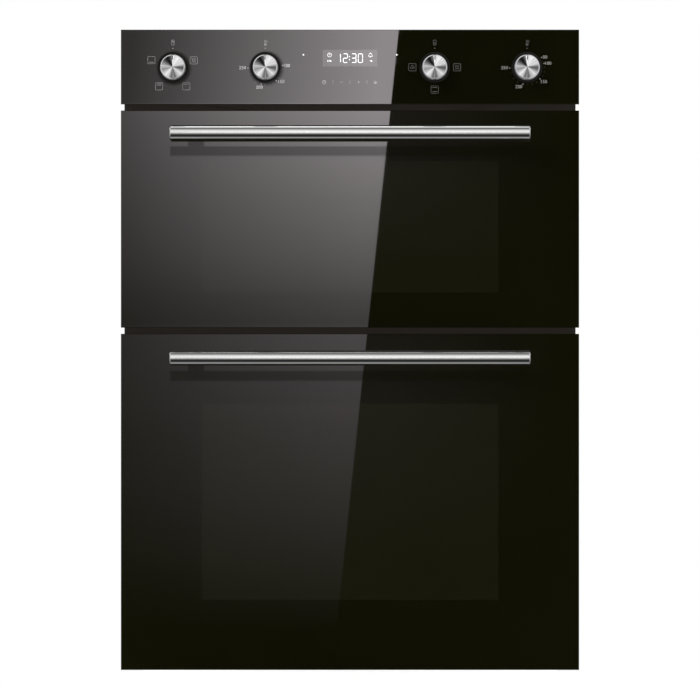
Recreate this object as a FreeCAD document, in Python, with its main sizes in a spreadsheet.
import FreeCAD, Part

# Built-in double oven for a 60 cm tall unit, as a parametric FreeCAD document.
# Frame: +Z up, the front faces -Y, the origin is at the middle of the base. Millimetres.
import math
import os
import re

import Sketcher

Vector = FreeCAD.Vector
doc = FreeCAD.newDocument("BuiltInDoubleOven")
sheet = doc.addObject("Spreadsheet::Sheet", "Dims")

# The driving dimensions. Each becomes one cell of the sheet, with its name as the alias.
SIZES = {
    # facade: glass fronts of the control panel and the two drop-down doors
    "facade_width": 595,
    "glass_thickness": 4,
    "glass_chamfer": 0.6,
    "flange_y": -235,           # plane of the cabinet's front edges
    "front_projection": 25,     # outer glass face, in front of that plane
    "door_depth": 20,           # outer glass face to inner glass back
    "lower_door_low": 0.5,
    "lower_door_high": 437,
    "upper_door_low": 445,
    "upper_door_high": 727,
    "panel_low": 735,
    "panel_high": 832,
    "column_width": 20,         # door side columns
    "column_inset": 1.5,
    "column_wall": 1.2,
    "inner_glass_half": 255,
    "upper_inner_low": 462,
    "upper_inner_high": 708,
    "lower_inner_low": 30,
    "lower_inner_high": 416,
    # door handles
    "handle_length": 466.5,
    "handle_radius": 9.75,
    "handle_reach": 40,         # bar axis, in front of the outer glass face
    "handle_chamfer": 0.8,
    "post_radius": 7.5,
    "stud_radius": 2.5,
    "post_half_pitch": 203.5,
    "upper_handle_z": 697.2,
    "lower_handle_z": 405.7,
    # door hinges
    "pivot_back": 10,           # pivot behind the outer glass face
    "pivot_up": 8,              # pivot above the door's lower edge
    "hinge_x": 270,
    "arm_thickness": 4,
    "arm_height": 10,
    "hinge_pin_radius": 2.5,
    "running_clearance": 0.06,
    # casing
    "sheet_thickness": 1,
    "casing_half": 278,
    "casing_depth": 520,
    "casing_high": 821,
    "frame_half": 293.5,
    "frame_high": 829,
    "tray_half": 276.5,
    "tray_upstand": 13,
    "rear_flange": 16.5,
    "top_flange": 13.5,
    "slot_width": 4,
    "slot_end_radius": 1.9,
    "screw_inset": 9,
    "screw_hole_radius": 2.1,
    "screw_radius": 1.9,
    "screw_head_radius": 4,
    "fixing_x": 286,            # wood screws into the cabinet's sides
    "fixing_low_z": 150,
    "fixing_high_z": 690,
    "fixing_hole_radius": 2.5,
    "opening_margin": 16,       # frame opening, outside the cavity mouth
    "control_opening_half": 272,
    "control_opening_low": 743,
    "control_opening_high": 818,
    "outlet_low": 719.5,          # cooling air slots between the panel and the upper door
    "outlet_high": 725.5,
    "motor_bulge_half": 130,    # pressed frame in the back panel
    "terminal_x": 180,
    "terminal_z": 745,
    "cable_radius": 5.5,
    # oven cavities
    "mouth_half": 238,
    "cavity_depth": 430,
    "cavity_corner": 20,
    "cavity_flange": 22,
    "flange_setback": 2,        # cavity flange, behind the cabinet's front edges
    "upper_mouth_low": 480,
    "upper_mouth_high": 690,
    "lower_mouth_low": 48,
    "lower_mouth_high": 398,
    "insulation": 25,
    "base_heat_gap": 10,        # room under the upper cavity for its base element
    "seal_inset": 5,
    "seal_width": 8,
    "seal_clearance": 0.4,
    "seal_round": 3,
    # heating elements
    "element_radius": 3.5,
    "thin_element_radius": 3.2,
    "grill_drop": 20,           # grill element, under the cavity roof
    "grill_tail_x": 30,
    "coil_radius": 97.55,       # ring element round the fan
    "coil_tail_x": 22,
    "coil_tail_rise": 95,
    # controls
    "knob_row_z": 783.2,
    "knob_inner_x": 110,
    "knob_outer_x": 230,
    "knob_radius": 15.7,
    "knob_length": 22,
    "knob_gap": 2,
    "bezel_radius": 20,
    "bezel_bore": 16.7,
    "shaft_radius": 3,
    "shaft_length": 44,
    "shaft_grip": 11.8,         # depth of the shaft in its knob
    "press_clearance": 0.02,
    "display_z": 795,
    "display_width": 70,
    "display_height": 22.5,
    "indicator_x": 60.6,
    "indicator_z": 799.4,
    # convection fan, behind the lower cavity
    "fan_z": 223,
    "fan_radius": 62,
    "fan_cover_half": 176,
    "fan_cover_setback": 36,    # cover in front of the cavity's back wall
    "fan_cover_high_half": 150,
    "fan_shaft_radius": 4,
    "fan_motor_radius": 38,
    "fan_motor_standoff": 30,
    # cooling blower, above the upper cavity
    "blower_y": -5,
    "blower_z": 763,
    "blower_half": 120,
    "blower_radius": 40,
    "impeller_radius": 30,
    "duct_height": 14,
    # shelves and their runners
    "runner_x": 229,
    "runner_wire": 2.2,
    "shelf_half": 227,
    "shelf_setback": 34,        # shelf front, behind the cavity flange
    "shelf_depth": 350,
    "runner_setback": 30,
    "runner_length": 370,
    "pan_depth": 36,
    "pan_wall": 1.2,
    "shelf_wire": 3,
    "upper_shelf_z": 572,
    "grill_pan_z": 522,
    "lower_shelf_z": 160,
    "upper_lamp_z": 622,
    "lamp_x": 205,
    "upper_lamp_x": 175,
    "lamp_radius": 19,
    "lower_lamp_z": 350,
    "lower_probe_x": 200,
    "lower_probe_z": 385,
    "upper_probe_x": -120,
    "upper_probe_z": 662,
}

for row, (alias, size) in enumerate(SIZES.items(), start=1):
    sheet.set(f"A{row}", alias)
    sheet.set(f"B{row}", str(size))
    sheet.setAlias(f"B{row}", alias)
doc.recompute()

# Named places, as formulas of the sheet's cells.
GLASS_FACE = "(flange_y - front_projection)"
GLASS_BACK = "(flange_y - front_projection + glass_thickness)"
DOOR_BACK = "(flange_y - front_projection + door_depth)"
FRAME_FACE = "(flange_y - sheet_thickness)"
CAVITY_FACE = "(flange_y + flange_setback)"
CAVITY_BACK = "(flange_y + flange_setback + sheet_thickness + cavity_depth)"
CASING_BACK = "(flange_y + casing_depth)"
BACK_FACE = "(flange_y + casing_depth + sheet_thickness)"
CARRIER_BACK = "(flange_y - front_projection + glass_thickness + sheet_thickness)"
SHELF_FRONT = "(flange_y + flange_setback + shelf_setback)"
PIVOT_Y = "(flange_y - front_projection + pivot_back)"
HANDLE_Y = "(flange_y - front_projection - handle_reach)"
LEVELS = {
    "upper": {"door_low": "upper_door_low", "door_high": "upper_door_high",
              "inner_low": "upper_inner_low", "inner_high": "upper_inner_high",
              "mouth_low": "upper_mouth_low", "mouth_high": "upper_mouth_high",
              "handle_z": "upper_handle_z"},
    "lower": {"door_low": "lower_door_low", "door_high": "lower_door_high",
              "inner_low": "lower_inner_low", "inner_high": "lower_inner_high",
              "mouth_low": "lower_mouth_low", "mouth_high": "lower_mouth_high",
              "handle_z": "lower_handle_z"},
}
HALVES = ("-", "")              # the sign in front of a half-width, left then right
SCREW_HEIGHTS = ("30", "220", "410", "600", "790")
KNOBS = {
    "upper_selector": "-knob_outer_x",
    "upper_thermostat": "-knob_inner_x",
    "lower_selector": "knob_inner_x",
    "lower_thermostat": "knob_outer_x",
}
WORD = re.compile(r"[A-Za-z_]\w*")
subparts = []


# ---------------------------------------------------------------- small tools
def formula(text):
    """A formula of aliases, with each alias written as a cell of the sheet."""
    return WORD.sub(lambda word: f"Dims.{word[0]}" if word[0] in SIZES else word[0], str(text))


def number(text):
    return float(sheet.evalExpression(formula(text)))


def bind(obj, **formulas):
    for name, text in formulas.items():
        obj.setExpression(name, formula(text))
    return obj


TURNS = {"z": FreeCAD.Rotation(), "x": FreeCAD.Rotation(Vector(0, 1, 0), 90),
         "y": FreeCAD.Rotation(Vector(1, 0, 0), -90), "-y": FreeCAD.Rotation(Vector(1, 0, 0), 90)}


def place(obj, x, y, z, axis="z"):
    """Puts an object's own origin at (x, y, z), with its own +Z along the axis."""
    obj.Placement = FreeCAD.Placement(Vector(), TURNS[axis])
    for name, text in zip("xyz", (x, y, z)):
        obj.setExpression(f"Placement.Base.{name}", formula(text))
    return obj


def box(x, y, z, length, width, height):
    """A block from its lowest corner and its sizes along X, Y and Z."""
    block = doc.addObject("Part::Box", "Block")
    bind(block, Length=length, Width=width, Height=height)
    return place(block, x, y, z)


def cylinder(x, y, z, radius, height, axis="z"):
    """A round bar that starts at (x, y, z) and runs along the axis."""
    bar = doc.addObject("Part::Cylinder", "Bar")
    bind(bar, Radius=radius, Height=height)
    return place(bar, x, y, z, axis)


def fuse(*shapes):
    joined = doc.addObject("Part::MultiFuse", "Joined")
    joined.Shapes = list(shapes)
    return joined


def cut(base, *tools):
    removed = doc.addObject("Part::Cut", "Removed")
    removed.Base = base
    removed.Tool = tools[0] if len(tools) == 1 else fuse(*tools)
    return removed


def group(*shapes):
    """Separate solids that share one node."""
    together = doc.addObject("Part::Compound", "Together")
    together.Links = list(shapes)
    return together


def mirrored(shape):
    """The same shape on the other side of the oven's middle plane."""
    image = doc.addObject("Part::Mirroring", "Image")
    image.Source = shape
    image.Normal = Vector(1, 0, 0)
    return image


def subpart(label, shape):
    shape.Label = label
    subparts.append(shape)
    return shape


def body(name="Piece"):
    return doc.addObject("PartDesign::Body", name)


def origin_feature(owner, role):
    return next(f for f in owner.Origin.OriginFeatures if f.Role == role)


# plane: its origin plane, and the sign that turns a world position into a sketch offset
PLANES = {"front": ("XZ_Plane", -1), "top": ("XY_Plane", 1), "side": ("YZ_Plane", 1)}


def sketch(owner, plane, at, draw):
    """A sketch parallel to a plane of the body, at a world position along its normal."""
    role, sign = PLANES[plane]
    drawn = owner.newObject("Sketcher::SketchObject", "Outline")
    drawn.AttachmentSupport = (origin_feature(owner, role), [""])
    drawn.MapMode = "FlatFace"
    drawn.setExpression("AttachmentOffset.Base.z", formula(f"{sign} * ({at})"))
    draw(drawn)
    return drawn


def pad(owner, plane, start, length, draw):
    """Material from the start plane towards +X, +Y or +Z."""
    made = owner.newObject("PartDesign::Pad", "Pad")
    made.Profile = sketch(owner, plane, start, draw)
    made.Reversed = plane == "front"
    return bind(made, Length=length)


def pocket(owner, plane, start, length, draw):
    """Takes material away from the start plane towards +X, +Y or +Z."""
    doc.recompute()
    before = owner.Shape.Volume
    made = owner.newObject("PartDesign::Pocket", "Pocket")
    made.Profile = sketch(owner, plane, start, draw)
    made.Reversed = plane != "front"
    bind(made, Length=length)
    doc.recompute()
    if not owner.Shape.Volume < before:
        raise RuntimeError(f"{owner.Name}: a pocket took nothing away")
    return made


def line_pattern(owner, feature, role, length, count):
    """Repeats a feature along an origin axis of the body."""
    pattern = owner.newObject("PartDesign::LinearPattern", "Row")
    pattern.Originals = [feature]
    pattern.Direction = (origin_feature(owner, role), [""])
    pattern.Occurrences = count
    bind(pattern, Length=length)
    owner.Tip = pattern
    doc.recompute()
    return pattern


def ring_pattern(owner, feature, count, axis="Z_Axis"):
    """Repeats a feature round an origin axis of the body."""
    pattern = owner.newObject("PartDesign::PolarPattern", "Ring")
    pattern.Originals = [feature]
    pattern.Axis = (origin_feature(owner, axis), [""])
    pattern.Angle = 360
    pattern.Occurrences = count
    owner.Tip = pattern
    doc.recompute()
    return pattern


def revolve(owner, draw):
    """A full turn of an outline on the XZ plane about the body's Z axis."""
    made = owner.newObject("PartDesign::Revolution", "Turned")
    made.Profile = sketch(owner, "front", 0, draw)
    made.ReferenceAxis = (made.Profile[0], ["V_Axis"])
    made.Angle = 360
    return made


def dimension(drawn, kind, *where):
    """One sketch dimension whose value is a formula."""
    *place_in, text = where
    index = drawn.addConstraint(Sketcher.Constraint(kind, *place_in, number(text)))
    drawn.setExpression(f"Constraints[{index}]", formula(text))


def polygon(drawn, *corners):
    """A closed outline whose corners are pairs of formulas."""
    points = [Vector(number(u), number(v), 0) for u, v in corners]
    count = len(points)
    lines = [drawn.addGeometry(Part.LineSegment(points[i], points[(i + 1) % count]), False)
             for i in range(count)]
    for i, line in enumerate(lines):
        drawn.addConstraint(Sketcher.Constraint("Coincident", line, 2, lines[(i + 1) % count], 1))
        dimension(drawn, "DistanceX", -1, 1, line, 1, corners[i][0])
        dimension(drawn, "DistanceY", -1, 1, line, 1, corners[i][1])


def rectangle(drawn, low_u, low_v, high_u, high_v):
    polygon(drawn, (low_u, low_v), (high_u, low_v), (high_u, high_v), (low_u, high_v))


def rounded(drawn, low_u, low_v, high_u, high_v, radius):
    """A rectangle with four equal round corners."""
    u0, v0, u1, v1, r = (number(text) for text in (low_u, low_v, high_u, high_v, radius))

    def line(start, end):
        return drawn.addGeometry(Part.LineSegment(Vector(*start), Vector(*end)), False)

    def corner(u, v, turn):
        circle_ = Part.Circle(Vector(u, v, 0), Vector(0, 0, 1), r)
        arc = Part.ArcOfCircle(circle_, math.radians(turn), math.radians(turn + 90))
        return drawn.addGeometry(arc, False)

    chain = [line((u0 + r, v0), (u1 - r, v0)), corner(u1 - r, v0 + r, 270),
             line((u1, v0 + r), (u1, v1 - r)), corner(u1 - r, v1 - r, 0),
             line((u1 - r, v1), (u0 + r, v1)), corner(u0 + r, v1 - r, 90),
             line((u0, v1 - r), (u0, v0 + r)), corner(u0 + r, v0 + r, 180)]
    for i, edge in enumerate(chain):
        drawn.addConstraint(Sketcher.Constraint("Tangent", edge, 2, chain[(i + 1) % 8], 1))
    low, right, high, left = chain[0::2]
    for edge in (low, high):
        drawn.addConstraint(Sketcher.Constraint("Horizontal", edge))
    for edge in (left, right):
        drawn.addConstraint(Sketcher.Constraint("Vertical", edge))
    for edge in chain[3::2]:
        drawn.addConstraint(Sketcher.Constraint("Equal", chain[1], edge))
    dimension(drawn, "Radius", chain[1], radius)
    dimension(drawn, "DistanceX", -1, 1, left, 1, low_u)
    dimension(drawn, "DistanceX", -1, 1, right, 1, high_u)
    dimension(drawn, "DistanceY", -1, 1, low, 1, low_v)
    dimension(drawn, "DistanceY", -1, 1, high, 1, high_v)


def circle(drawn, u, v, radius):
    ring = Part.Circle(Vector(number(u), number(v), 0), Vector(0, 0, 1), number(radius))
    index = drawn.addGeometry(ring, False)
    dimension(drawn, "Radius", index, radius)
    dimension(drawn, "DistanceX", -1, 1, index, 3, u)
    dimension(drawn, "DistanceY", -1, 1, index, 3, v)


def plate(plane, start, thickness, draw):
    """A flat sheet: an outline with its holes, padded by the thickness."""
    sheet_metal = body("Plate")
    pad(sheet_metal, plane, start, thickness, draw)
    return sheet_metal


def tube_along(points, radius, bend):
    """A round bar along straight runs joined by tangent arcs of one bend radius."""
    corners = [Vector(*(number(value) for value in point)) for point in points]
    edges, start = [], corners[0]
    for before, at, after in zip(corners, corners[1:], corners[2:]):
        inward, outward = (at - before).normalize(), (after - at).normalize()
        half_turn = inward.getAngle(outward) / 2
        trim = number(bend) * math.tan(half_turn)
        arc_start, arc_end = at - inward * trim, at + outward * trim
        middle = at + (outward - inward).normalize() * (number(bend) / math.cos(half_turn) - number(bend))
        edges.append(Part.LineSegment(start, arc_start).toShape())
        edges.append(Part.Arc(arc_start, middle, arc_end).toShape())
        start = arc_end
    edges.append(Part.LineSegment(start, corners[-1]).toShape())
    path = Part.Wire(edges)
    section = Part.Wire(Part.makeCircle(number(radius), corners[0], corners[1] - corners[0]))
    made = doc.addObject("Part::Feature", "Tube")
    made.Shape = path.makePipeShell([section], True, True)
    return made


# ---------------------------------------------------------------- casing
def slots(owner, plane, at, corners, role, length, count):
    """A row of round-ended cooling slots through a panel one sheet thick."""
    slot = pocket(owner, plane, at, "sheet_thickness", lambda s: rounded(s, *corners, "slot_end_radius"))
    line_pattern(owner, slot, role, length, count)


def base_panel():
    """Base tray with two upturned sides."""
    tray = body("Tray")
    inside = "tray_half - sheet_thickness"
    pad(tray, "front", "flange_y", "casing_depth - sheet_thickness", lambda s: polygon(
        s, ("-tray_half", "0"), ("tray_half", "0"), ("tray_half", "tray_upstand"),
        (inside, "tray_upstand"), (inside, "sheet_thickness"), (f"-({inside})", "sheet_thickness"),
        (f"-({inside})", "tray_upstand"), ("-tray_half", "tray_upstand")))
    for low_x, high_x in (("-180", "-60"), ("60", "180")):
        slots(tray, "top", 0, (low_x, "flange_y + 60", high_x, "flange_y + 60 + slot_width"),
              "Y_Axis", 360, 16)
    subpart("base_panel", tray)


def side_panels():
    """Two plates, each with a rear flange for the back panel, a top flange and two rows of slots."""
    inner_face, bend_gap = "casing_half - sheet_thickness", "sheet_thickness / 2"
    side = body("Side")

    def rear_flange(s):
        rectangle(s, f"casing_half - {bend_gap} - rear_flange", "sheet_thickness",
                  f"casing_half - {bend_gap}", "casing_high - 2 * sheet_thickness")
        for z in SCREW_HEIGHTS:
            circle(s, "casing_half - screw_inset", z, "screw_hole_radius")

    pad(side, "side", inner_face, "sheet_thickness", lambda s: rectangle(
        s, "flange_y", "sheet_thickness", CASING_BACK, "casing_high - sheet_thickness"))
    pad(side, "front", f"{CASING_BACK} - sheet_thickness", "sheet_thickness", rear_flange)
    pad(side, "top", "casing_high - 2 * sheet_thickness", "sheet_thickness", lambda s: rectangle(
        s, f"casing_half - {bend_gap} - top_flange", "flange_y + 4",
        f"casing_half - {bend_gap}", f"{CASING_BACK} - 4"))
    for low_z in ("40", "740"):
        slots(side, "side", inner_face, ("flange_y + 90", low_z, "flange_y + 90 + slot_width",
                                         f"{low_z} + 46"), "Y_Axis", 330, 23)
    subpart("side_panels", group(side, mirrored(side)))


def back_panel():
    """Screwed-on back with a pressed stiffening frame round the fan motor and three fields of slots."""
    panel = body("Back")

    def outline(s):
        rectangle(s, "-casing_half + 1", "2", "casing_half - 1", "casing_high - 2")
        for side in HALVES:
            for z in SCREW_HEIGHTS:
                circle(s, f"{side}(casing_half - screw_inset)", z, "screw_hole_radius")
        circle(s, "terminal_x", "terminal_z", "2 * cable_radius")

    def pressing(s):
        for inset, corner in (("0", "24"), ("8", "16")):
            half = f"(motor_bulge_half - {inset})"
            rounded(s, f"-{half}", f"fan_z - {half}", half, f"fan_z + {half}", corner)

    pad(panel, "front", CASING_BACK, "sheet_thickness", outline)
    pad(panel, "front", BACK_FACE, "4", pressing)
    pitch = 10
    for low_x, high_x, low_z, count in (("-100", "100", "fan_z - 70", 15), ("-200", "200", "560", 13),
                                        ("-60", "100", "730", 7)):
        slots(panel, "front", CASING_BACK, (low_x, low_z, high_x, f"{low_z} + slot_width"),
              "Z_Axis", pitch * (count - 1), count)
    subpart("back_panel", panel)


def top_cover():
    """Flat cover with a grille over the blower."""
    low_face = "casing_high - sheet_thickness"
    cover = plate("top", low_face, "sheet_thickness", lambda s: rectangle(
        s, "-casing_half", "flange_y + 1", "casing_half", CASING_BACK))
    slots(cover, "top", low_face, ("-104", "blower_y - 40", "-104 + slot_width", "blower_y + 40"),
          "X_Axis", 204, 24)
    subpart("top_cover", cover)


def casing_screws():
    """Pan-head screws with a cross drive, which hold the back panel to the side panels."""
    head_height, drive_depth, drive_width, drive_length = "2.4", "1", "1.2", "5.2"
    drive_floor = f"{BACK_FACE} + {head_height} - {drive_depth}"
    screws = []
    for side in HALVES:
        for z in SCREW_HEIGHTS:
            x = f"{side}(casing_half - screw_inset)"
            head = cylinder(x, BACK_FACE, z, "screw_head_radius", head_height, "y")
            shank = cylinder(x, f"{CASING_BACK} - 6", z, "screw_radius", "6 + sheet_thickness", "y")
            upright = box(f"{x} - {drive_width} / 2", drive_floor, f"{z} - {drive_length} / 2",
                          drive_width, "2", drive_length)
            level_bar = box(f"{x} - {drive_length} / 2", drive_floor, f"{z} - {drive_width} / 2",
                            drive_length, "2", drive_width)
            screws.append(cut(fuse(head, shank), upright, level_bar))
    subpart("casing_screws", group(*screws))


def front_frame():
    """Pressed front frame: three openings, each with a lip turned back, vent slots and fixing holes."""
    frame = body("Frame")
    openings = [("-mouth_half - opening_margin", f"{names['mouth_low']} - opening_margin",
                 "mouth_half + opening_margin", f"{names['mouth_high']} + opening_margin",
                 "cavity_corner + opening_margin - 2") for names in LEVELS.values()]
    openings.append(("-control_opening_half", "control_opening_low", "control_opening_half",
                     "control_opening_high", "6"))

    def face(s):
        rectangle(s, "-frame_half", "0", "frame_half", "frame_high")
        for opening in openings:
            rounded(s, *opening)
        for side in HALVES:
            for z in ("fixing_low_z", "fixing_high_z"):
                circle(s, f"{side}fixing_x", z, "fixing_hole_radius")
            for names in LEVELS.values():
                centre_x, pivot_z = f"{side}hinge_x", f"{names['door_low']} + pivot_up"
                rectangle(s, f"{centre_x} - 4", f"{pivot_z} - 7", f"{centre_x} + 4", f"{pivot_z} + 7")

    pad(frame, "front", FRAME_FACE, "sheet_thickness", face)
    for low_u, low_v, high_u, high_v, radius in openings:
        pad(frame, "front", FRAME_FACE, "sheet_thickness + flange_setback", lambda s: (
            rounded(s, low_u, low_v, high_u, high_v, radius),
            rounded(s, f"{low_u} - sheet_thickness", f"{low_v} - sheet_thickness",
                    f"{high_u} + sheet_thickness", f"{high_v} + sheet_thickness",
                    f"{radius} + sheet_thickness")))
    slots(frame, "front", FRAME_FACE, ("-114", "outlet_low", "-100", "outlet_high"), "X_Axis", 214, 12)
    subpart("front_frame", frame)


# ---------------------------------------------------------------- cavities
def cavity_outline(drawn, level, outset):
    """The cavity's section, this far outside its inner face."""
    names = LEVELS[level]
    rounded(drawn, f"-mouth_half - {outset}", f"{names['mouth_low']} - {outset}",
            f"mouth_half + {outset}", f"{names['mouth_high']} + {outset}", f"cavity_corner + {outset}")


def cavity(level):
    """Enamelled oven liner: a front flange, the four walls in one, and a back wall with its holes."""
    def back(s):
        cavity_outline(s, level, "sheet_thickness")
        for x, z in LAMPS[level]:
            circle(s, x, z, "lamp_radius")
        circle(s, f"{level}_probe_x", f"{level}_probe_z", "1.8")
        tail_x, tail_z = ("grill_tail_x", GRILL_Z) if level == "upper" else ("coil_tail_x", COIL_TAIL_Z)
        for side in HALVES:
            circle(s, f"{side}{tail_x}", tail_z, "element_radius + 0.8")
        if level == "lower":
            circle(s, "0", "fan_z", "fan_shaft_radius + 4")

    shell = body("Cavity")
    pad(shell, "front", CAVITY_FACE, "sheet_thickness", lambda s: (
        cavity_outline(s, level, "0"), cavity_outline(s, level, "cavity_flange")))
    pad(shell, "front", f"{CAVITY_FACE} + sheet_thickness", "cavity_depth", lambda s: (
        cavity_outline(s, level, "0"), cavity_outline(s, level, "sheet_thickness")))
    pad(shell, "front", CAVITY_BACK, "sheet_thickness", back)
    subpart(f"{level}_cavity", shell)


def insulation():
    """One mineral wool jacket round each cavity, open at the front."""
    jackets = []
    for level, spare in (("upper", "base_heat_gap"), ("lower", "0")):
        low, high = LEVELS[level]["mouth_low"], LEVELS[level]["mouth_high"]
        gap, back_start = "1.5", f"{CAVITY_FACE} + cavity_depth + 5"

        def outline(s, thickness, corner):
            rounded(s, f"-mouth_half - {gap} - {thickness}", f"{low} - {gap} - {spare} - {thickness}",
                    f"mouth_half + {gap} + {thickness}", f"{high} + {gap} + {thickness}", corner)

        def back(s):
            outline(s, "insulation", "12")
            for x, z in LAMPS[level]:
                circle(s, x, z, "lamp_radius + 3")
            if level == "upper":
                rectangle(s, "-130", f"{GRILL_Z} - 20", "50", f"{GRILL_Z} + 12")
            else:
                circle(s, "0", "fan_z", "fan_motor_radius + 8")
                rectangle(s, "-40", f"{COIL_TAIL_Z} - 15", "40", f"{COIL_TAIL_Z} + 15")
                circle(s, "lower_probe_x", "lower_probe_z", "5")

        jacket = body("Jacket")
        walls_start = f"{CAVITY_FACE} + 4"
        pad(jacket, "front", walls_start, f"{back_start} - ({walls_start})", lambda s: (
            outline(s, "insulation", "12"), outline(s, "0", "8")))
        pad(jacket, "front", back_start, "insulation", back)
        jackets.append(jacket)
    subpart("insulation_jackets", group(*jackets))


def door_seals():
    """A soft round-edged gasket on each cavity flange, just clear of the closed door."""
    seals = []
    start = f"{DOOR_BACK} + seal_clearance"
    for level in LEVELS:
        seal = body("Seal")
        pad(seal, "front", start, f"{CAVITY_FACE} - ({start})", lambda s: (
            cavity_outline(s, level, "seal_inset"), cavity_outline(s, level, "(seal_inset + seal_width)")))
        whole = seal.Tip
        edges = edges_on_face(seal, number(start))
        soften = seal.newObject("PartDesign::Fillet", "Soften")
        soften.Base = (whole, edges)
        bind(soften, Radius="seal_round")
        seal.Tip = soften
        seals.append(seal)
    subpart("door_seals", group(*seals))


def edges_on_face(owner, y, straight_only=False):
    """Names of a body's edges that lie wholly in the plane at this depth."""
    doc.recompute()
    return [f"Edge{i}" for i, edge in enumerate(owner.Shape.Edges, start=1)
            if abs(edge.BoundBox.YMin - y) < 0.01 and abs(edge.BoundBox.YMax - y) < 0.01
            and (edge.Curve.TypeId == "Part::GeomLine" or not straight_only)]


# ---------------------------------------------------------------- heating, fans, lamps
GRILL_Z = "(upper_mouth_high - grill_drop)"
COIL_TAIL_Z = "(fan_z + coil_tail_rise)"
LAMPS = {"upper": (("-upper_lamp_x", "upper_lamp_z"),),
         "lower": (("-lamp_x", "lower_lamp_z"), ("lamp_x", "lower_lamp_z"))}


def grill_element():
    """Serpentine rod under the upper cavity's roof, with its fixing plate on the back wall."""
    tail, rear = f"{CAVITY_BACK} + 18", f"{CAVITY_BACK} - 50"
    front, inner = f"{CAVITY_FACE} + 70", f"{CAVITY_BACK} - 95"
    outer_x, middle_x, inner_x = "195", "120", "42"
    half = [("grill_tail_x", tail), ("grill_tail_x", rear), (outer_x, rear), (outer_x, front),
            (middle_x, front), (middle_x, inner), (inner_x, inner), (inner_x, front)]
    route = [(x, y, GRILL_Z) for x, y in half] + [(f"-{x}", y, GRILL_Z) for x, y in reversed(half)]
    plate_thickness = "1.5"
    fixing = cut(box("-50", f"{CAVITY_BACK} - {plate_thickness}", f"{GRILL_Z} - 8", "100",
                     plate_thickness, "16"),
                 *[cylinder(f"{side}grill_tail_x", f"{CAVITY_BACK} - 3", GRILL_Z, "element_radius - 0.1",
                            "6", "y") for side in HALVES])
    subpart("grill_element", fuse(tube_along(route, "element_radius", "14"), fixing))


def base_element():
    """Plain loop in the gap under the upper cavity's floor, with two tails to the back."""
    z = "upper_mouth_low - sheet_thickness - base_heat_gap / 2"
    tail, inner, front = f"{CAVITY_BACK} - 2", f"{CAVITY_BACK} - 95", f"{CAVITY_FACE} + 70"
    half = [("grill_tail_x", tail), ("grill_tail_x", inner), ("190", inner), ("190", front)]
    route = [(x, y, z) for x, y in half] + [(f"-{x}", y, z) for x, y in reversed(half)]
    subpart("base_element", tube_along(route, "thin_element_radius", "24"))


def fan_element():
    """Most of a ring round the fan, and two legs out through the back wall."""
    opening_angle = 26
    ring = doc.addObject("Part::Torus", "Coil")
    bind(ring, Radius1="coil_radius", Radius2="thin_element_radius")
    ring.Angle3 = 360 - opening_angle
    ring.Placement = FreeCAD.Placement(Vector(), FreeCAD.Rotation(Vector(1, 0, 0), 90)
                                       * FreeCAD.Rotation(Vector(0, 0, 1), 90 + opening_angle / 2))
    ring.setExpression("Placement.Base.y", formula(f"{CAVITY_BACK} - 14"))
    ring.setExpression("Placement.Base.z", formula("fan_z"))
    legs = [cylinder(f"{side}coil_tail_x", f"{CAVITY_BACK} - 15", COIL_TAIL_Z,
                     "thin_element_radius", "34", "y") for side in HALVES]
    subpart("fan_element", fuse(ring, *legs))


def fan_cover():
    """Baffle in front of the fan: intake holes, turned-back edges and outlet slots in its sides."""
    cover = body("Baffle")
    front = f"({CAVITY_BACK} - fan_cover_setback)"
    back_gap, hole_radius = "0.2", "4"

    def edge(s, inset):
        rounded(s, f"-fan_cover_half + {inset}", f"fan_z - fan_cover_high_half + {inset}",
                f"fan_cover_half - {inset}", f"fan_z + fan_cover_high_half - {inset}", f"14 - {inset}")

    def face(s):
        edge(s, "0")
        circle(s, "0", "fan_z", "7")
        for side in HALVES:
            for rise in ("-120", "120"):
                circle(s, f"{side}(fan_cover_half - 16)", f"fan_z + {rise}", "screw_hole_radius")

    def intake(s):
        for distance, count in ((18, 8), (31, 14), (44, 20), (57, 26)):
            for i in range(count):
                x, rise = around(distance, 2 * math.pi * i / count)
                circle(s, x, f"fan_z + {rise}", hole_radius)

    pad(cover, "front", front, "sheet_thickness", face)
    edge_depth = f"fan_cover_setback - sheet_thickness - {back_gap}"
    pad(cover, "front", f"{front} + sheet_thickness", edge_depth,
        lambda s: (edge(s, "0"), edge(s, "sheet_thickness")))
    pocket(cover, "front", front, "sheet_thickness", intake)
    for x in ("-fan_cover_half", "fan_cover_half - sheet_thickness"):
        slot = pocket(cover, "side", x, "sheet_thickness", lambda s: rounded(
            s, f"{front} + 8", "fan_z - 120", f"{front} + 28", "fan_z - 112", "3.9"))
        line_pattern(cover, slot, "Z_Axis", 232, 15)
    subpart("fan_cover", cover)


def around(distance, turn):
    """The two coordinates of a point at this distance and angle from the centre, as formulas."""
    return f"{distance * math.cos(turn):.4f}", f"{distance * math.sin(turn):.4f}"


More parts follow.
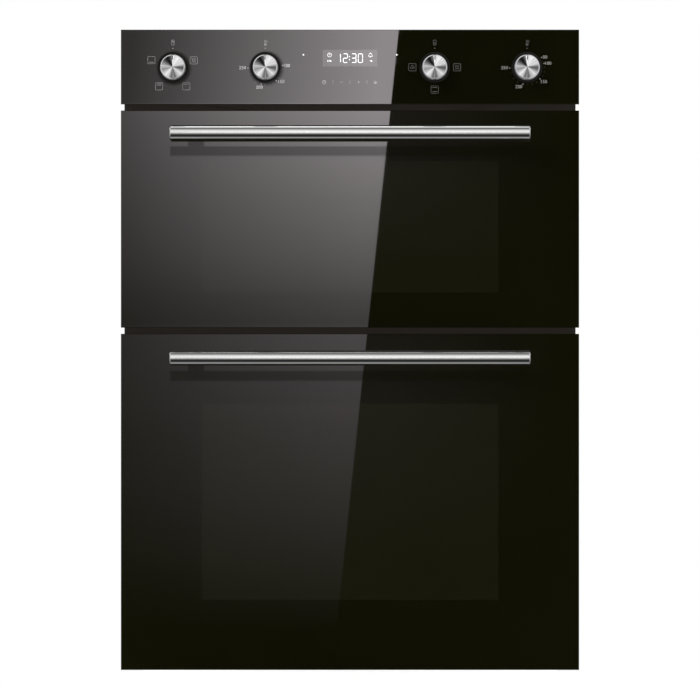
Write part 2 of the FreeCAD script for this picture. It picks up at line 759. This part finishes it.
def convection_fan():
    # blade: a disc with a hub and twelve slanted vanes
    disc_thickness, hub_height, vane_height = "1.2", "8", "15"
    blade = body("Blade")
    bore = "fan_shaft_radius + press_clearance"
    for start, length, radius in (("0", disc_thickness, "fan_radius"), (disc_thickness, hub_height, "11")):
        pad(blade, "top", start, length, lambda s: (circle(s, "0", "0", radius), circle(s, "0", "0", bore)))
    vane = pad(blade, "top", disc_thickness, vane_height, lambda s: polygon(
        s, ("30", "-4"), ("fan_radius - 1", "8"), ("fan_radius - 1.4", "9.2"), ("29.6", "-2.8")))
    ring_pattern(blade, vane, 12)
    subpart("fan_blade", place(blade, "0", f"{CAVITY_BACK} - 8", "fan_z", "-y"))

    # shaft with its hexagon nut, from inside the motor to in front of the blade's hub
    nut_start, nut_radius = "50.3", 7
    shaft = body("Shaft")
    pad(shaft, "top", 0, nut_start, lambda s: circle(s, "0", "0", "fan_shaft_radius"))
    hexagon = [around(nut_radius, math.pi * i / 3) for i in range(6)]
    pad(shaft, "top", nut_start, "5", lambda s: polygon(s, *hexagon))
    subpart("fan_shaft", place(shaft, "0", f"{CAVITY_BACK} + 33", "fan_z", "-y"))

    # motor behind the insulation, standing on three legs on the cavity's back wall
    start, leg_ring = f"{CAVITY_BACK} + fan_motor_standoff", 34
    can = cylinder("0", start, "fan_z", "fan_motor_radius", "44", "y")
    step = cylinder("0", f"{start} + 44", "fan_z", "14", "6", "y")
    legs = []
    for i in range(3):
        x, rise = around(leg_ring, math.pi / 2 + 2 * math.pi * i / 3)
        legs.append(cylinder(x, f"{CAVITY_BACK} + sheet_thickness", f"fan_z + {rise}", "4",
                             "fan_motor_standoff + 1", "y"))
    bore = cylinder("0", f"{start} - 1", "fan_z", "fan_shaft_radius + running_clearance", "20", "y")
    subpart("fan_motor", cut(fuse(can, step, *legs), bore))


def cooling_blower():
    # housing: a scroll with an intake window on top, and a flat duct to the front frame
    def hull(inset, duct_start):
        radius, half = f"(blower_radius - {inset})", f"(blower_half - {inset})"
        scroll = cylinder(f"-{half}", "blower_y", "blower_z", radius, f"2 * {half}", "x")
        duct = box(f"-{half}", duct_start, f"blower_z - {radius}", f"2 * {half}",
                   f"blower_y - ({duct_start})", f"duct_height - 2 * {inset}")
        return scroll, duct

    intake = box("-blower_half + 14", "blower_y - 24", "blower_z + 20", "2 * blower_half - 28", "48", "30")
    axle_hole = cylinder("blower_half - 2", "blower_y", "blower_z", "4", "4", "x")
    subpart("blower_housing", cut(fuse(*hull("0", "flange_y + 0.5")),
                                  *hull("sheet_thickness", "flange_y - 1"), intake, axle_hole))

    # crossflow impeller: three discs and a ring of curved-back blades on one axle
    end_gap, disc = "6", "2"
    length = f"(2 * blower_half - 2 * {end_gap})"
    impeller = body("Impeller")
    for start in ("0", f"{length} / 2 - {disc} / 2", f"{length} - {disc}"):
        pad(impeller, "top", start, disc, lambda s: circle(s, "0", "0", "impeller_radius"))
    blade = pad(impeller, "top", "1", f"{length} - {disc}", lambda s: polygon(
        s, ("22", "-3"), ("impeller_radius - 1", "2"), ("impeller_radius - 1.4", "2.9"), ("21.6", "-2.1")))
    ring_pattern(impeller, blade, 24)
    pad(impeller, "top", "-2", f"{length} + 20", lambda s: circle(s, "0", "0", "shaft_radius"))
    subpart("blower_impeller", place(impeller, f"-blower_half + {end_gap}", "blower_y", "blower_z", "x"))

    motor = cylinder("blower_half + 0.1", "blower_y", "blower_z", "26", "38.4", "x")
    cap = cylinder("blower_half + 38.5", "blower_y", "blower_z", "9", "5", "x")
    bore = cylinder("blower_half", "blower_y", "blower_z", "shaft_radius + running_clearance", "24", "x")
    subpart("blower_motor", cut(fuse(motor, cap), bore))


def oven_lamps():
    """A domed glass lens inside the cavity, and a ceramic holder with its bulb behind the wall."""
    lenses, holders = [], []
    clearance = "0.1"
    for x, z in LAMPS["upper"] + LAMPS["lower"]:
        lens = body("Lens")
        revolve(lens, lambda s: polygon(
            s, ("0", "11"), ("9", "10.2"), ("15.5", "7.5"), ("19", "3"), ("23", "2.4"), ("23", "0"),
            ("16.6", "0"), ("13.6", "5.6"), ("8", "7.9"), ("0", "8.6")))
        lenses.append(place(lens, x, f"{CAVITY_BACK} - {clearance}", z, "-y"))
        outer = cylinder(x, f"{CAVITY_BACK} + {clearance}", z, "lamp_radius - 0.4", "32", "y")
        inner = cylinder(x, CAVITY_BACK, z, "lamp_radius - 2.4", "28", "y")
        bulb = cylinder(x, f"{CAVITY_BACK} + 1", z, "9", "28", "y")
        holders.append(fuse(cut(outer, inner), bulb))
    subpart("lamp_lenses", group(*lenses))
    subpart("lamp_holders", group(*holders))


# ---------------------------------------------------------------- shelves
def shelf_runners(level, heights):
    """A pair of wire side frames: two uprights each, and a double rail at every shelf height."""
    low, high = LEVELS[level]["mouth_low"], LEVELS[level]["mouth_high"]
    front = f"({CAVITY_FACE} + runner_setback)"
    upright_x, pin_x, drop, rise = "runner_x + 4.2", "runner_x + 3", "4.95", "6.2"
    wires = []
    for y in (front, f"{front} + runner_length"):
        wires.append(cylinder(upright_x, y, f"{low} + 14", "2.5", f"{high} - {low} - 38", "z"))
        for z in (f"{low} + 34", f"{high} - 44"):
            wires.append(cylinder(pin_x, y, z, "runner_wire", "mouth_half - 0.1 - runner_x - 3", "x"))
    for z in heights:
        for rail_z in (f"{z} - {drop}", f"{z} + {rise}"):
            wires.append(cylinder("runner_x", f"{front} - 4", rail_z, "runner_wire",
                                  "runner_length + 8", "y"))
    frame = fuse(*wires)
    subpart(f"{level}_shelf_runners", group(frame, mirrored(frame)))


def wire_shelf(label, z):
    """Chromed grid: a bent outer wire, two cross bars and closely spaced wires from front to back."""
    back, gap, grid_rise, wire_count = f"({SHELF_FRONT} + shelf_depth)", 1, 2.6, 17
    rim_route = [("0", SHELF_FRONT), ("shelf_half", SHELF_FRONT), ("shelf_half", back),
                 ("-shelf_half", back), ("-shelf_half", SHELF_FRONT), (f"-{gap}", SHELF_FRONT)]
    rim = tube_along([(x, y, z) for x, y in rim_route], "shelf_wire", "10")
    weld = cylinder(f"-{gap}", SHELF_FRONT, z, "shelf_wire - 0.1", f"{gap}", "x")
    bars = [cylinder("-shelf_half", f"{SHELF_FRONT} + {share} * shelf_depth", z, "2.4", "2 * shelf_half", "x")
            for share in (0.3, 0.7)]
    grid = [cylinder(f"-shelf_half + {i} * 2 * shelf_half / {wire_count + 1}", SHELF_FRONT,
                     f"{z} + {grid_rise}", "1.4", "shelf_depth", "y") for i in range(1, wire_count + 1)]
    subpart(label, fuse(rim, weld, *bars, *grid))


def grill_pan():
    """Enamelled roasting tray whose rim rides on the runners."""
    pan = body("Pan")
    rim_top, side_inset, rim_width = "grill_pan_z - 1.4", 12, 14
    low_z = f"{rim_top} - pan_depth"

    def outline(s, outset):
        rounded(s, f"-shelf_half + {side_inset} - {outset}", f"{SHELF_FRONT} + {side_inset} - {outset}",
                f"shelf_half - {side_inset} + {outset}",
                f"{SHELF_FRONT} + shelf_depth - {side_inset} + {outset}", f"22 + {outset}")

    for start, length, outset in ((f"{rim_top} - pan_wall", "pan_wall", rim_width),
                                  (low_z, "pan_depth - 0.5", 0)):
        pad(pan, "top", start, length, lambda s: (outline(s, outset), outline(s, "(-pan_wall)")))
    pad(pan, "top", low_z, "pan_wall", lambda s: outline(s, 0))
    subpart("grill_pan", pan)


# ---------------------------------------------------------------- controls
def control_panel():
    half = "facade_width / 2"

    def glass(s):
        rectangle(s, f"-{half}", "panel_low", half, "panel_high")
        for x in KNOBS.values():
            circle(s, x, "knob_row_z", "bezel_bore + 1.1")

    pane = plate("front", GLASS_FACE, "glass_thickness", glass)
    subpart("control_panel_glass", ease_edges(pane))

    # folded carrier behind the glass: a web, and four edges that reach back to the front frame
    def carrier_outline(s, inset):
        rectangle(s, f"-{half} + 3 + {inset}", f"panel_low + 2 + {inset}",
                  f"{half} - 3 - {inset}", f"panel_high - 2 - {inset}")

    def web(s):
        carrier_outline(s, "0")
        for x in KNOBS.values():
            circle(s, x, "knob_row_z", "6")
        rectangle(s, "-display_width / 2 - 2", "display_z - display_height / 2 - 2",
                  "display_width / 2 + 2", "display_z + display_height / 2 + 2")
        for side in HALVES:
            circle(s, f"{side}indicator_x", "indicator_z", "3.2")

    carrier = body("Carrier")
    pad(carrier, "front", GLASS_BACK, "sheet_thickness", web)
    pad(carrier, "front", CARRIER_BACK, f"{FRAME_FACE} - {CARRIER_BACK}", lambda s: (
        carrier_outline(s, "0"), carrier_outline(s, "sheet_thickness")))
    subpart("control_panel_carrier", carrier)

    # clock module: its housing behind the carrier, its window up against the glass, and its key pins
    window = box("-display_width / 2", GLASS_BACK, "display_z - display_height / 2",
                 "display_width", "sheet_thickness + 1", "display_height")
    case_depth, key_pitch = "22", 17
    case = box("-48", CARRIER_BACK, "750", "96", case_depth, "62")
    pins = [cylinder(f"{i * key_pitch}", f"{GLASS_BACK} + {case_depth}", "764", "3", "5", "y")
            for i in range(-2, 3)]
    subpart("clock_module", fuse(window, case, *pins))
    lights = [cylinder(f"{side}indicator_x", GLASS_BACK, "indicator_z", "3", "16", "y") for side in HALVES]
    subpart("indicator_lights", group(*lights))


def ease_edges(pane):
    """Small chamfer on every straight edge of a pane's front face."""
    edges = edges_on_face(pane, number(GLASS_FACE), straight_only=True)
    whole = pane.Tip
    bevel = pane.newObject("PartDesign::Chamfer", "Eased")
    bevel.Base = (whole, edges)
    bind(bevel, Size="glass_chamfer")
    pane.Tip = bevel
    return pane


def knobs():
    """Four turned knobs, each on its shaft, and the ring that lines each hole in the glass."""
    bezels = []
    bore, bore_depth = "shaft_radius + press_clearance", "12"
    knob_back = f"{GLASS_FACE} - knob_gap"
    for name, x in KNOBS.items():
        knob = body("Knob")
        revolve(knob, lambda s: polygon(
            s, (bore, "0"), ("knob_radius - 0.5", "0"), ("knob_radius", "2"),
            ("knob_radius", "knob_length - 1"), ("knob_radius - 1", "knob_length"), ("0", "knob_length"),
            ("0", bore_depth), (bore, bore_depth)))
        # pointer groove across the outer part of the face
        groove_depth = "0.5"
        pocket(knob, "top", f"knob_length - {groove_depth}", groove_depth,
               lambda s: rounded(s, "-0.6", "9", "0.6", "14.4", "0.55"))
        subpart(f"{name}_knob", place(knob, x, knob_back, "knob_row_z", "-y"))

        shaft = body("Spindle")
        pad(shaft, "top", 0, "shaft_length", lambda s: circle(s, "0", "0", "shaft_radius"))
        shaft_back = f"{knob_back} - shaft_grip + shaft_length"
        subpart(f"{name}_shaft", place(shaft, x, shaft_back, "knob_row_z", "-y"))

        sleeve = "glass_thickness - 0.1"
        bezel = body("Bezel")
        revolve(bezel, lambda s: polygon(
            s, ("bezel_bore", f"-({sleeve})"), ("bezel_bore", "2"), ("bezel_bore + 0.5", "2.5"),
            ("bezel_radius - 0.9", "2.1"), ("bezel_radius", "1.2"), ("bezel_radius", "0"),
            ("bezel_bore + 1", "0"), ("bezel_bore + 1", f"-({sleeve})")))
        bezels.append(place(bezel, x, GLASS_FACE, "knob_row_z", "-y"))
    subpart("knob_bezels", group(*bezels))


def switches():
    """Rotary switches behind the carrier: the selectors are square blocks, the thermostats round cans."""
    selectors, thermostats = [], []
    for name, x in KNOBS.items():
        bore = cylinder(x, f"{CARRIER_BACK} - 1", "knob_row_z",
                        "shaft_radius + running_clearance", "30", "y")
        neck = cylinder(x, CARRIER_BACK, "knob_row_z", "9", "8", "y")
        if "selector" in name:
            block = box(f"{x} - 21", f"{CARRIER_BACK} + 6", "knob_row_z - 21", "42", "40", "42")
            tabs = [box(f"{x} - 17 + {i * 10}", f"{CARRIER_BACK} + 44", "knob_row_z - 12", "6", "10", "24")
                    for i in range(4)]
            selectors.append(cut(fuse(neck, block, *tabs), bore))
        else:
            can = cylinder(x, f"{CARRIER_BACK} + 6", "knob_row_z", "20", "18", "y")
            block = box(f"{x} - 16", f"{CARRIER_BACK} + 20", "knob_row_z - 18", "32", "22", "36")
            tabs = [box(f"{x} - 12 + {i * 16}", f"{CARRIER_BACK} + 40", "knob_row_z - 8", "6.3", "10", "16")
                    for i in range(2)]
            thermostats.append(cut(fuse(neck, can, block, *tabs), bore))
    subpart("selector_switches", group(*selectors))
    subpart("thermostats", group(*thermostats))


def thermostat_probes():
    """Capillary tube of each thermostat, from its can under the top cover to a probe in the cavity."""
    start, lid_z = f"{CARRIER_BACK} + 34", "808"
    behind = f"{CAVITY_BACK} + insulation + 22"
    capillary_radius, bend, probe_radius, probe_length = "1", "5", "3", "72"
    made = []
    for level, knob_x, first_x, run_x in (("upper", "-knob_inner_x", "-16", "-150"),
                                          ("lower", "knob_outer_x", "16", "250")):
        probe_x, probe_z = f"{level}_probe_x", f"{level}_probe_z"
        turn_x = f"{knob_x} + {first_x} + {'-14' if level == 'upper' else '10'}"
        route = [(f"{knob_x} + {first_x}", start, "knob_row_z + 6"), (turn_x, start, "knob_row_z + 6"),
                 (run_x, start, lid_z), (run_x, behind, lid_z), (probe_x, behind, probe_z),
                 (probe_x, f"{CAVITY_BACK} - 60", probe_z)]
        probe = cylinder(probe_x, f"{CAVITY_BACK} - 60 - {probe_length} + 2", probe_z,
                         probe_radius, probe_length, "y")
        made.append(fuse(tube_along(route, capillary_radius, bend), probe))
    subpart("thermostat_probes", group(*made))


def wiring_harness():
    """Sleeved trunk from the terminal box, under the top cover, to the row of switches."""
    behind, start = f"{CAVITY_BACK} + insulation + 40", f"{GLASS_BACK} + 66"
    route = [("terminal_x", f"{CASING_BACK} + 4", "terminal_z"), ("terminal_x", behind, "terminal_z"),
             ("terminal_x", behind, "800"), ("215", f"{CASING_BACK} - 120", "800"),
             ("215", "flange_y + 90", "800"), ("170", start, "795"), ("-200", start, "795")]
    subpart("wiring_harness", tube_along(route, "4", "12"))


def terminal_box():
    """Box on the back panel for the mains connection, with a cable bush under it."""
    low_z, depth = "terminal_z - 30", "24"
    cable_y = f"{BACK_FACE} + {depth} / 2"
    shell = box("terminal_x - 40", BACK_FACE, low_z, "80", f"{depth} - 3", "60")
    lid = box("terminal_x - 38", f"{BACK_FACE} + {depth} - 3", f"{low_z} + 2", "76", "3", "56")
    bush = cylinder("terminal_x", cable_y, f"{low_z} - 12", "9", "14", "z")
    cable_hole = cylinder("terminal_x", cable_y, f"{low_z} - 13", "cable_radius", "26", "z")
    harness_hole = cylinder("terminal_x", f"{BACK_FACE} - 1", "terminal_z", "9", "5", "y")
    screws = []
    for x in ("terminal_x - 32", "terminal_x + 32"):
        for z in ("terminal_z - 22", "terminal_z + 22"):
            head = cylinder(x, f"{BACK_FACE} + {depth} - 0.5", z, "3.2", "2", "y")
            drive = box(f"{x} - 4", f"{BACK_FACE} + {depth} + 0.7", f"{z} - 0.5", "8", "1", "1")
            screws.append(cut(head, drive))
    subpart("terminal_box", cut(fuse(shell, lid, bush, *screws), cable_hole, harness_hole))


# ---------------------------------------------------------------- doors
def door_glass(level):
    names = LEVELS[level]
    half = "facade_width / 2"

    def outer(s):
        rectangle(s, f"-{half}", names["door_low"], half, names["door_high"])
        for side in HALVES:
            circle(s, f"{side}post_half_pitch", names["handle_z"], "stud_radius + 0.5")

    pane = plate("front", GLASS_FACE, "glass_thickness", outer)
    subpart(f"{level}_door_outer_glass", ease_edges(pane))
    inner = plate("front", f"{DOOR_BACK} - glass_thickness", "glass_thickness", lambda s: rounded(
        s, "-inner_glass_half", names["inner_low"], "inner_glass_half", names["inner_high"], "4"))
    subpart(f"{level}_door_inner_glass", inner)


def door_structure(level):
    """Two side columns of thin tube, and a folded rail above and below the inner glass."""
    names = LEVELS[level]
    low, high = names["door_low"], names["door_high"]
    wall = "column_wall"
    right = "(facade_width / 2 - column_inset)"
    left = f"({right} - column_width)"
    column = body("Column")
    pad(column, "top", low, f"{high} - {low}", lambda s: (
        rectangle(s, left, GLASS_BACK, right, DOOR_BACK),
        rectangle(s, f"{left} + {wall}", f"{GLASS_BACK} + {wall}",
                  f"{right} - {wall}", f"{DOOR_BACK} - {wall}")))
    subpart(f"{level}_door_columns", group(column, mirrored(column)))

    def channel(s, open_z, closed_z, inward):
        polygon(s, (GLASS_BACK, open_z), (f"{GLASS_BACK} + {wall}", open_z),
                (f"{GLASS_BACK} + {wall}", f"{closed_z} {inward} {wall}"),
                (f"{DOOR_BACK} - {wall}", f"{closed_z} {inward} {wall}"), (f"{DOOR_BACK} - {wall}", open_z),
                (DOOR_BACK, open_z), (DOOR_BACK, closed_z), (GLASS_BACK, closed_z))

    top, top_edge = body("TopRail"), f"{high} - 1"
    pad(top, "side", f"-{left}", f"2 * {left}", lambda s: channel(s, names["inner_high"], top_edge, "-"))
    slot = pocket(top, "top", f"{top_edge} - {wall}", wall, lambda s: rounded(
        s, "-230", f"{GLASS_BACK} + 5", "-206", f"{GLASS_BACK} + 11", "2.9"))
    line_pattern(top, slot, "X_Axis", 436, 14)
    bottom, rail_half = body("BottomRail"), "(hinge_x - 7)"
    pad(bottom, "side", f"-{rail_half}", f"2 * {rail_half}",
        lambda s: channel(s, names["inner_low"], f"{low} + 1", "+"))
    subpart(f"{level}_door_rails", group(top, bottom))


def door_handle(level):
    """A round bar on two posts, each with a stud through the glass and a nut behind it."""
    z = LEVELS[level]["handle_z"]
    bar = body("HandleBar")
    pad(bar, "side", "-handle_length / 2", "handle_length", lambda s: circle(s, HANDLE_Y, z, "handle_radius"))
    doc.recompute()
    whole = bar.Tip
    chamfer = bar.newObject("PartDesign::Chamfer", "EndEdges")
    chamfer.Base = (whole, [f"Edge{i}" for i, edge in enumerate(whole.Shape.Edges, start=1)
                            if edge.BoundBox.XLength < 0.01])
    bind(chamfer, Size="handle_chamfer")
    bar.Tip = chamfer
    subpart(f"{level}_handle_bar", bar)
    posts = []
    for side in HALVES:
        x = f"{side}post_half_pitch"
        post = cylinder(x, HANDLE_Y, z, "post_radius", "handle_reach", "y")
        bar_space = cylinder(f"{x} - 20", HANDLE_Y, z, "handle_radius", "40", "x")
        stud = cylinder(x, f"{GLASS_FACE} - 1", z, "stud_radius", "glass_thickness + 5", "y")
        nut = cylinder(x, GLASS_BACK, z, "2 * stud_radius", "2.6", "y")
        posts.append(fuse(cut(post, bar_space), stud, nut))
    subpart(f"{level}_handle_posts", group(*posts))


def door_hinges(level):
    """Door half of each hinge: a channel beside the column, two ears and the pivot pin through them."""
    pivot_z = f"{LEVELS[level]['door_low']} + pivot_up"
    ear, half_width, length = "1.4", "4.2", "150"
    inside, outside = f"(hinge_x - {half_width})", f"(hinge_x + {half_width})"
    front, back = f"{GLASS_BACK} + 1", f"{DOOR_BACK} - 2"
    channel = body("HingeChannel")
    pad(channel, "top", f"{pivot_z} + 8", length, lambda s: polygon(
        s, (inside, front), (f"{inside} + {ear}", front), (f"{inside} + {ear}", f"{back} - 1"),
        (f"{outside} - {ear}", f"{back} - 1"), (f"{outside} - {ear}", front), (outside, front),
        (outside, back), (inside, back)))
    ears = [box(x, f"{PIVOT_Y} - 4.5", f"{pivot_z} - 5", ear, "9", "14")
            for x in (inside, f"{outside} - {ear}")]
    pin = cylinder(inside, PIVOT_Y, pivot_z, "hinge_pin_radius", f"2 * {half_width}", "x")
    hinge = fuse(channel, *ears, pin)
    subpart(f"{level}_door_hinges", group(hinge, mirrored(hinge)))


def hinge_arms():
    """Casing half of the four hinges: an arm to the pivot, and the receiver box behind the frame."""
    arms = []
    side = "(hinge_x - arm_thickness / 2)"
    shell_half, shell_height, shell_depth = "3.5", "14", "70"
    for names in LEVELS.values():
        pivot_z = f"{names['door_low']} + pivot_up"
        tip = cylinder(side, PIVOT_Y, pivot_z, "arm_height / 2", "arm_thickness", "x")
        arm = box(side, PIVOT_Y, f"{pivot_z} - arm_height / 2", "arm_thickness",
                  f"flange_y + 50 - {PIVOT_Y}", "arm_height")
        bore = cylinder(f"{side} - 1", PIVOT_Y, pivot_z, "hinge_pin_radius + running_clearance",
                        "arm_thickness + 2", "x")
        shell = box(f"hinge_x - {shell_half}", "flange_y + 0.5", f"{pivot_z} - {shell_height} / 2",
                    f"2 * {shell_half}", shell_depth, shell_height)
        room = box(side, "flange_y", f"{pivot_z} - arm_height / 2 - 0.4", "arm_thickness",
                   f"{shell_depth} + 2", "arm_height + 0.8")
        rivet = cylinder(f"hinge_x - {shell_half}", "flange_y + 40", pivot_z, "3", f"2 * {shell_half}", "x")
        arms.append(fuse(cut(fuse(tip, arm), bore), cut(shell, room), rivet))
    subpart("hinge_arms", group(*arms, *[mirrored(arm) for arm in arms]))


# ---------------------------------------------------------------- build and write
base_panel()
side_panels()
back_panel()
top_cover()
casing_screws()
front_frame()
for level in LEVELS:
    cavity(level)
    door_glass(level)
    door_structure(level)
    door_handle(level)
    door_hinges(level)
hinge_arms()
insulation()
door_seals()
grill_element()
base_element()
fan_element()
fan_cover()
convection_fan()
cooling_blower()
oven_lamps()
shelf_runners("upper", ("grill_pan_z", "upper_shelf_z", "622"))
shelf_runners("lower", ("110", "lower_shelf_z", "210", "260", "310"))
wire_shelf("upper_wire_shelf", "upper_shelf_z")
wire_shelf("lower_wire_shelf", "lower_shelf_z")
grill_pan()
control_panel()
knobs()
switches()
thermostat_probes()
wiring_harness()
terminal_box()
doc.recompute()

failed = [f"{obj.Name} ({obj.Label})" for obj in doc.Objects if {"Invalid", "Error"} & set(obj.State)]
failed += [piece.Label for piece in subparts
           if piece.Shape.isNull() or not piece.Shape.isValid() or not piece.Shape.Solids]
if failed:
    raise RuntimeError(f"these objects failed: {failed}")

os.makedirs("parts", exist_ok=True)
for piece in subparts:
    piece.Shape.exportStep(os.path.join("parts", f"{piece.Label}.step"))
print(f"{len(subparts)} sub-parts, {sum(len(piece.Shape.Solids) for piece in subparts)} solids")
